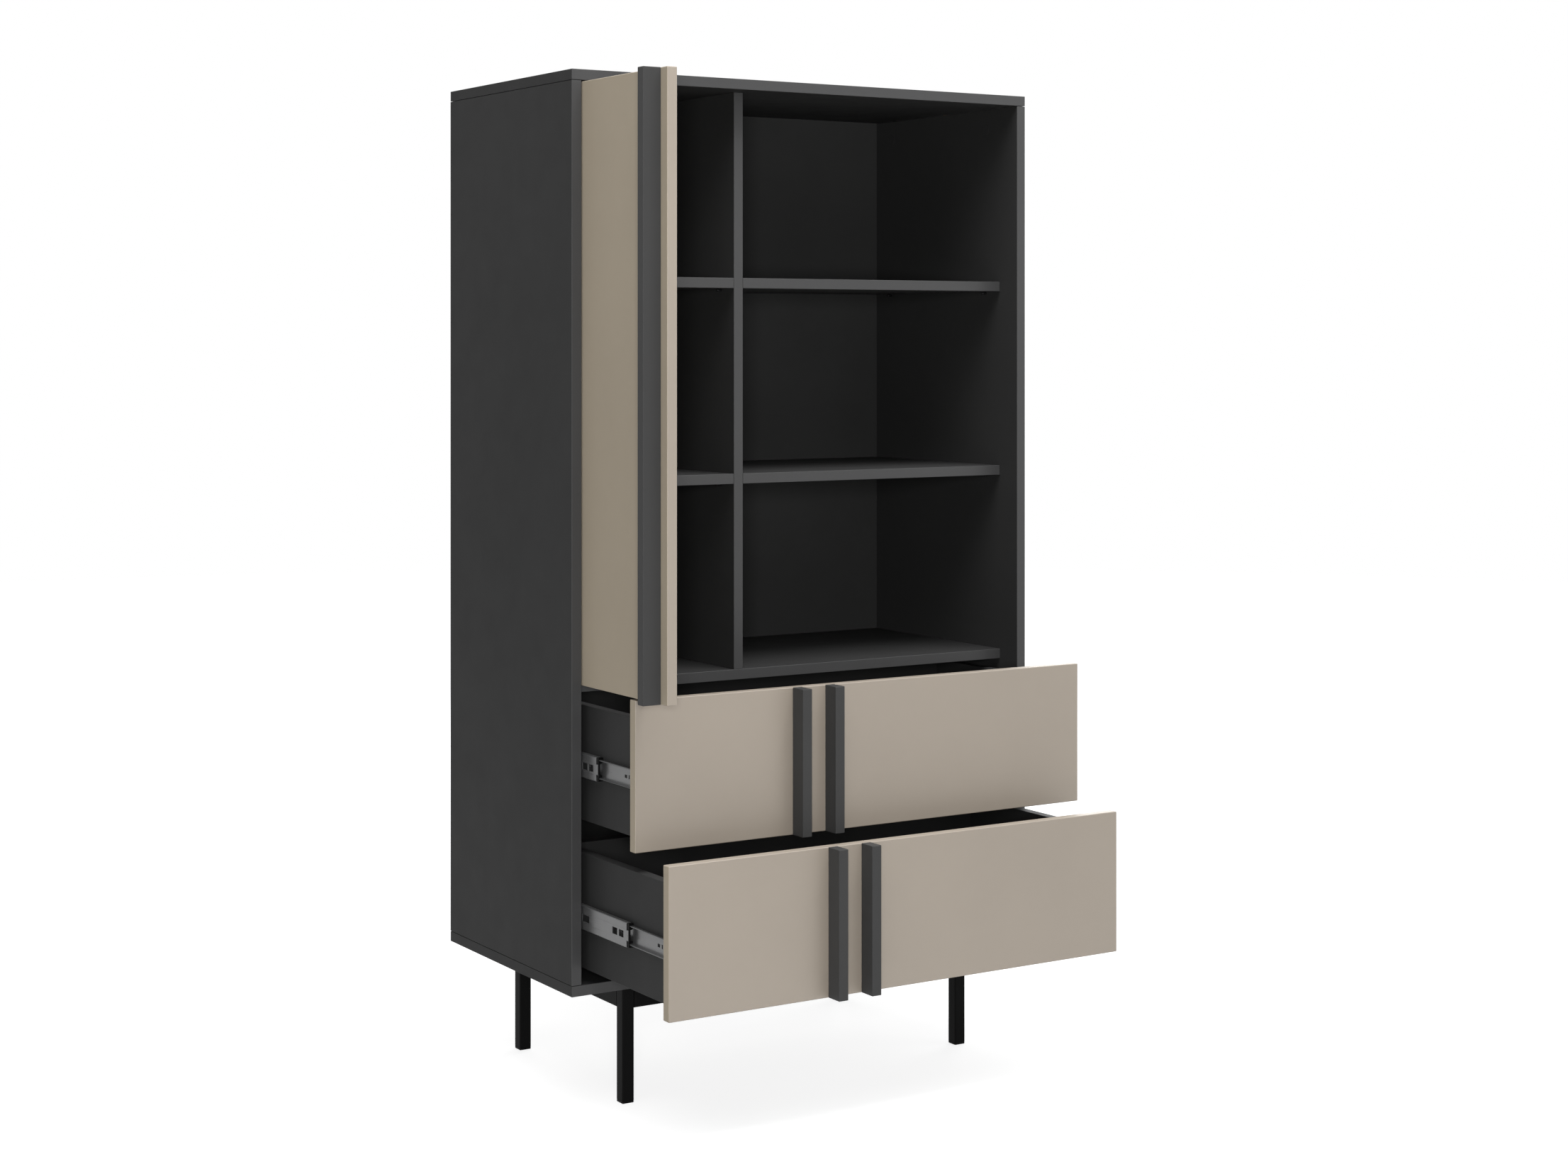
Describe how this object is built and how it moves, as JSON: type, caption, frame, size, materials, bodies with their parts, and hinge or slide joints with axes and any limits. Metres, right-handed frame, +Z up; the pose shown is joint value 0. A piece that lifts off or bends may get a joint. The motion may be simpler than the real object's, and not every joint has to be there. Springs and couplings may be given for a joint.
{
  "type": "bookcase with bottom drawers",
  "caption": "Tall bookcase on a steel leg frame: open bays beside a bay with a swinging door, over wide drawers on telescopic ball slides, with full-height handle bars.",
  "frame": {"origin": "on the floor, under the middle of the bookcase's box as it stands with the door open at a right angle and both drawers pulled out", "axes": "+X to the right seen from the front, +Y from the fronts to the back, +Z up"},
  "size_m": [0.851, 0.7154, 1.557],
  "materials": {
    "charcoal_board": "matt charcoal melamine on 16 mm chipboard",
    "taupe_board": "matt taupe melamine on 16 mm chipboard",
    "charcoal_hardboard": "charcoal lacquered 3 mm hardboard",
    "black_steel": "black matt powder coat",
    "zinc_steel": "bright zinc plated, drawn",
    "black_plastic": "black moulded",
    "beech": "raw beech dowel"
  },
  "bodies": {
    "carcass": {"left_side": "charcoal_board", "right_side": "charcoal_board", "top_panel": "charcoal_board", "bottom_panel": "charcoal_board", "fixed_shelf": "charcoal_board", "divider": "charcoal_board", "back_panel": "charcoal_hardboard", "shelf_left_lower": "charcoal_board", "shelf_left_upper": "charcoal_board", "shelf_right_lower": "charcoal_board", "shelf_right_upper": "charcoal_board", "cams": "zinc_steel", "cam_bolts": "zinc_steel", "dowels": "beech", "shelf_pins": "zinc_steel", "pivot_plates": "zinc_steel", "pivot_pins": "zinc_steel", "cabinet_screws": "zinc_steel", "leg_front_left": "black_steel", "leg_front_right": "black_steel", "leg_back_left": "black_steel", "leg_back_right": "black_steel", "foot_plugs": "black_plastic", "base_tabs": "black_steel", "base_front_rail": "black_steel", "base_back_rail": "black_steel", "base_side_rails": "black_steel", "upper_slide_cabinet_members": "zinc_steel", "lower_slide_cabinet_members": "zinc_steel"},
    "door": {"door_panel": "taupe_board", "door_bar": "charcoal_board", "door_bar_screws": "zinc_steel", "door_bushes": "black_plastic", "door_bumpers": "black_plastic"},
    "upper_drawer": {"upper_drawer_front": "taupe_board", "upper_drawer_bars": "charcoal_board", "upper_drawer_bar_screws": "zinc_steel", "upper_drawer_left_side": "charcoal_board", "upper_drawer_right_side": "charcoal_board", "upper_drawer_back": "charcoal_board", "upper_drawer_bottom": "charcoal_hardboard", "upper_drawer_dowels": "beech", "upper_slide_drawer_members": "zinc_steel"},
    "upper_slide_middles": {"upper_slide_middle_members": "zinc_steel", "upper_slide_end_stops": "black_plastic"},
    "upper_outer_cages": {"upper_slide_outer_cages": "zinc_steel"},
    "upper_inner_cages": {"upper_slide_inner_cages": "zinc_steel"},
    "lower_drawer": {"lower_drawer_front": "taupe_board", "lower_drawer_bars": "charcoal_board", "lower_drawer_bar_screws": "zinc_steel", "lower_drawer_left_side": "charcoal_board", "lower_drawer_right_side": "charcoal_board", "lower_drawer_back": "charcoal_board", "lower_drawer_bottom": "charcoal_hardboard", "lower_drawer_dowels": "beech", "lower_slide_drawer_members": "zinc_steel"},
    "lower_slide_middles": {"lower_slide_middle_members": "zinc_steel", "lower_slide_end_stops": "black_plastic"},
    "lower_outer_cages": {"lower_slide_outer_cages": "zinc_steel"},
    "lower_inner_cages": {"lower_slide_inner_cages": "zinc_steel"}
  },
  "joints": [
    {"name": "door_swing", "type": "hinge", "parent": "carcass", "child": "door", "pos_m": [-0.3885, -0.03225, 0.641], "axis": [0, 0, 1], "range_deg": [0, 90]},
    {"name": "upper_drawer_slide", "type": "slide", "parent": "carcass", "child": "upper_drawer", "axis": [0, -1, 0], "range_m": [-0.191, 0.149]},
    {"name": "upper_middle_slide", "type": "slide", "parent": "carcass", "child": "upper_slide_middles", "axis": [0, -1, 0], "range_m": [-0.0957, 0.0747]},
    {"name": "upper_outer_cage_roll", "type": "slide", "parent": "carcass", "child": "upper_outer_cages", "axis": [0, -1, 0], "range_m": [-0.04795, 0.03745]},
    {"name": "upper_inner_cage_roll", "type": "slide", "parent": "carcass", "child": "upper_inner_cages", "axis": [0, -1, 0], "range_m": [-0.14345, 0.11195]},
    {"name": "lower_drawer_slide", "type": "slide", "parent": "carcass", "child": "lower_drawer", "axis": [0, -1, 0], "range_m": [-0.2885, 0.0515]},
    {"name": "lower_middle_slide", "type": "slide", "parent": "carcass", "child": "lower_slide_middles", "axis": [0, -1, 0], "range_m": [-0.18917, 0.03393]},
    {"name": "lower_outer_cage_roll", "type": "slide", "parent": "carcass", "child": "lower_outer_cages", "axis": [0, -1, 0], "range_m": [-0.09468, 0.01707]},
    {"name": "lower_inner_cage_roll", "type": "slide", "parent": "carcass", "child": "lower_inner_cages", "axis": [0, -1, 0], "range_m": [-0.23893, 0.04282]}
  ],
  "couplings": [
    {"joint": "upper_middle_slide", "follows": "upper_drawer_slide", "ratio": 0.5},
    {"joint": "upper_outer_cage_roll", "follows": "upper_drawer_slide", "ratio": 0.25},
    {"joint": "upper_inner_cage_roll", "follows": "upper_drawer_slide", "ratio": 0.75},
    {"joint": "lower_middle_slide", "follows": "lower_drawer_slide", "ratio": 0.655},
    {"joint": "lower_outer_cage_roll", "follows": "lower_drawer_slide", "ratio": 0.3275},
    {"joint": "lower_inner_cage_roll", "follows": "lower_drawer_slide", "ratio": 0.8275}
  ]
}
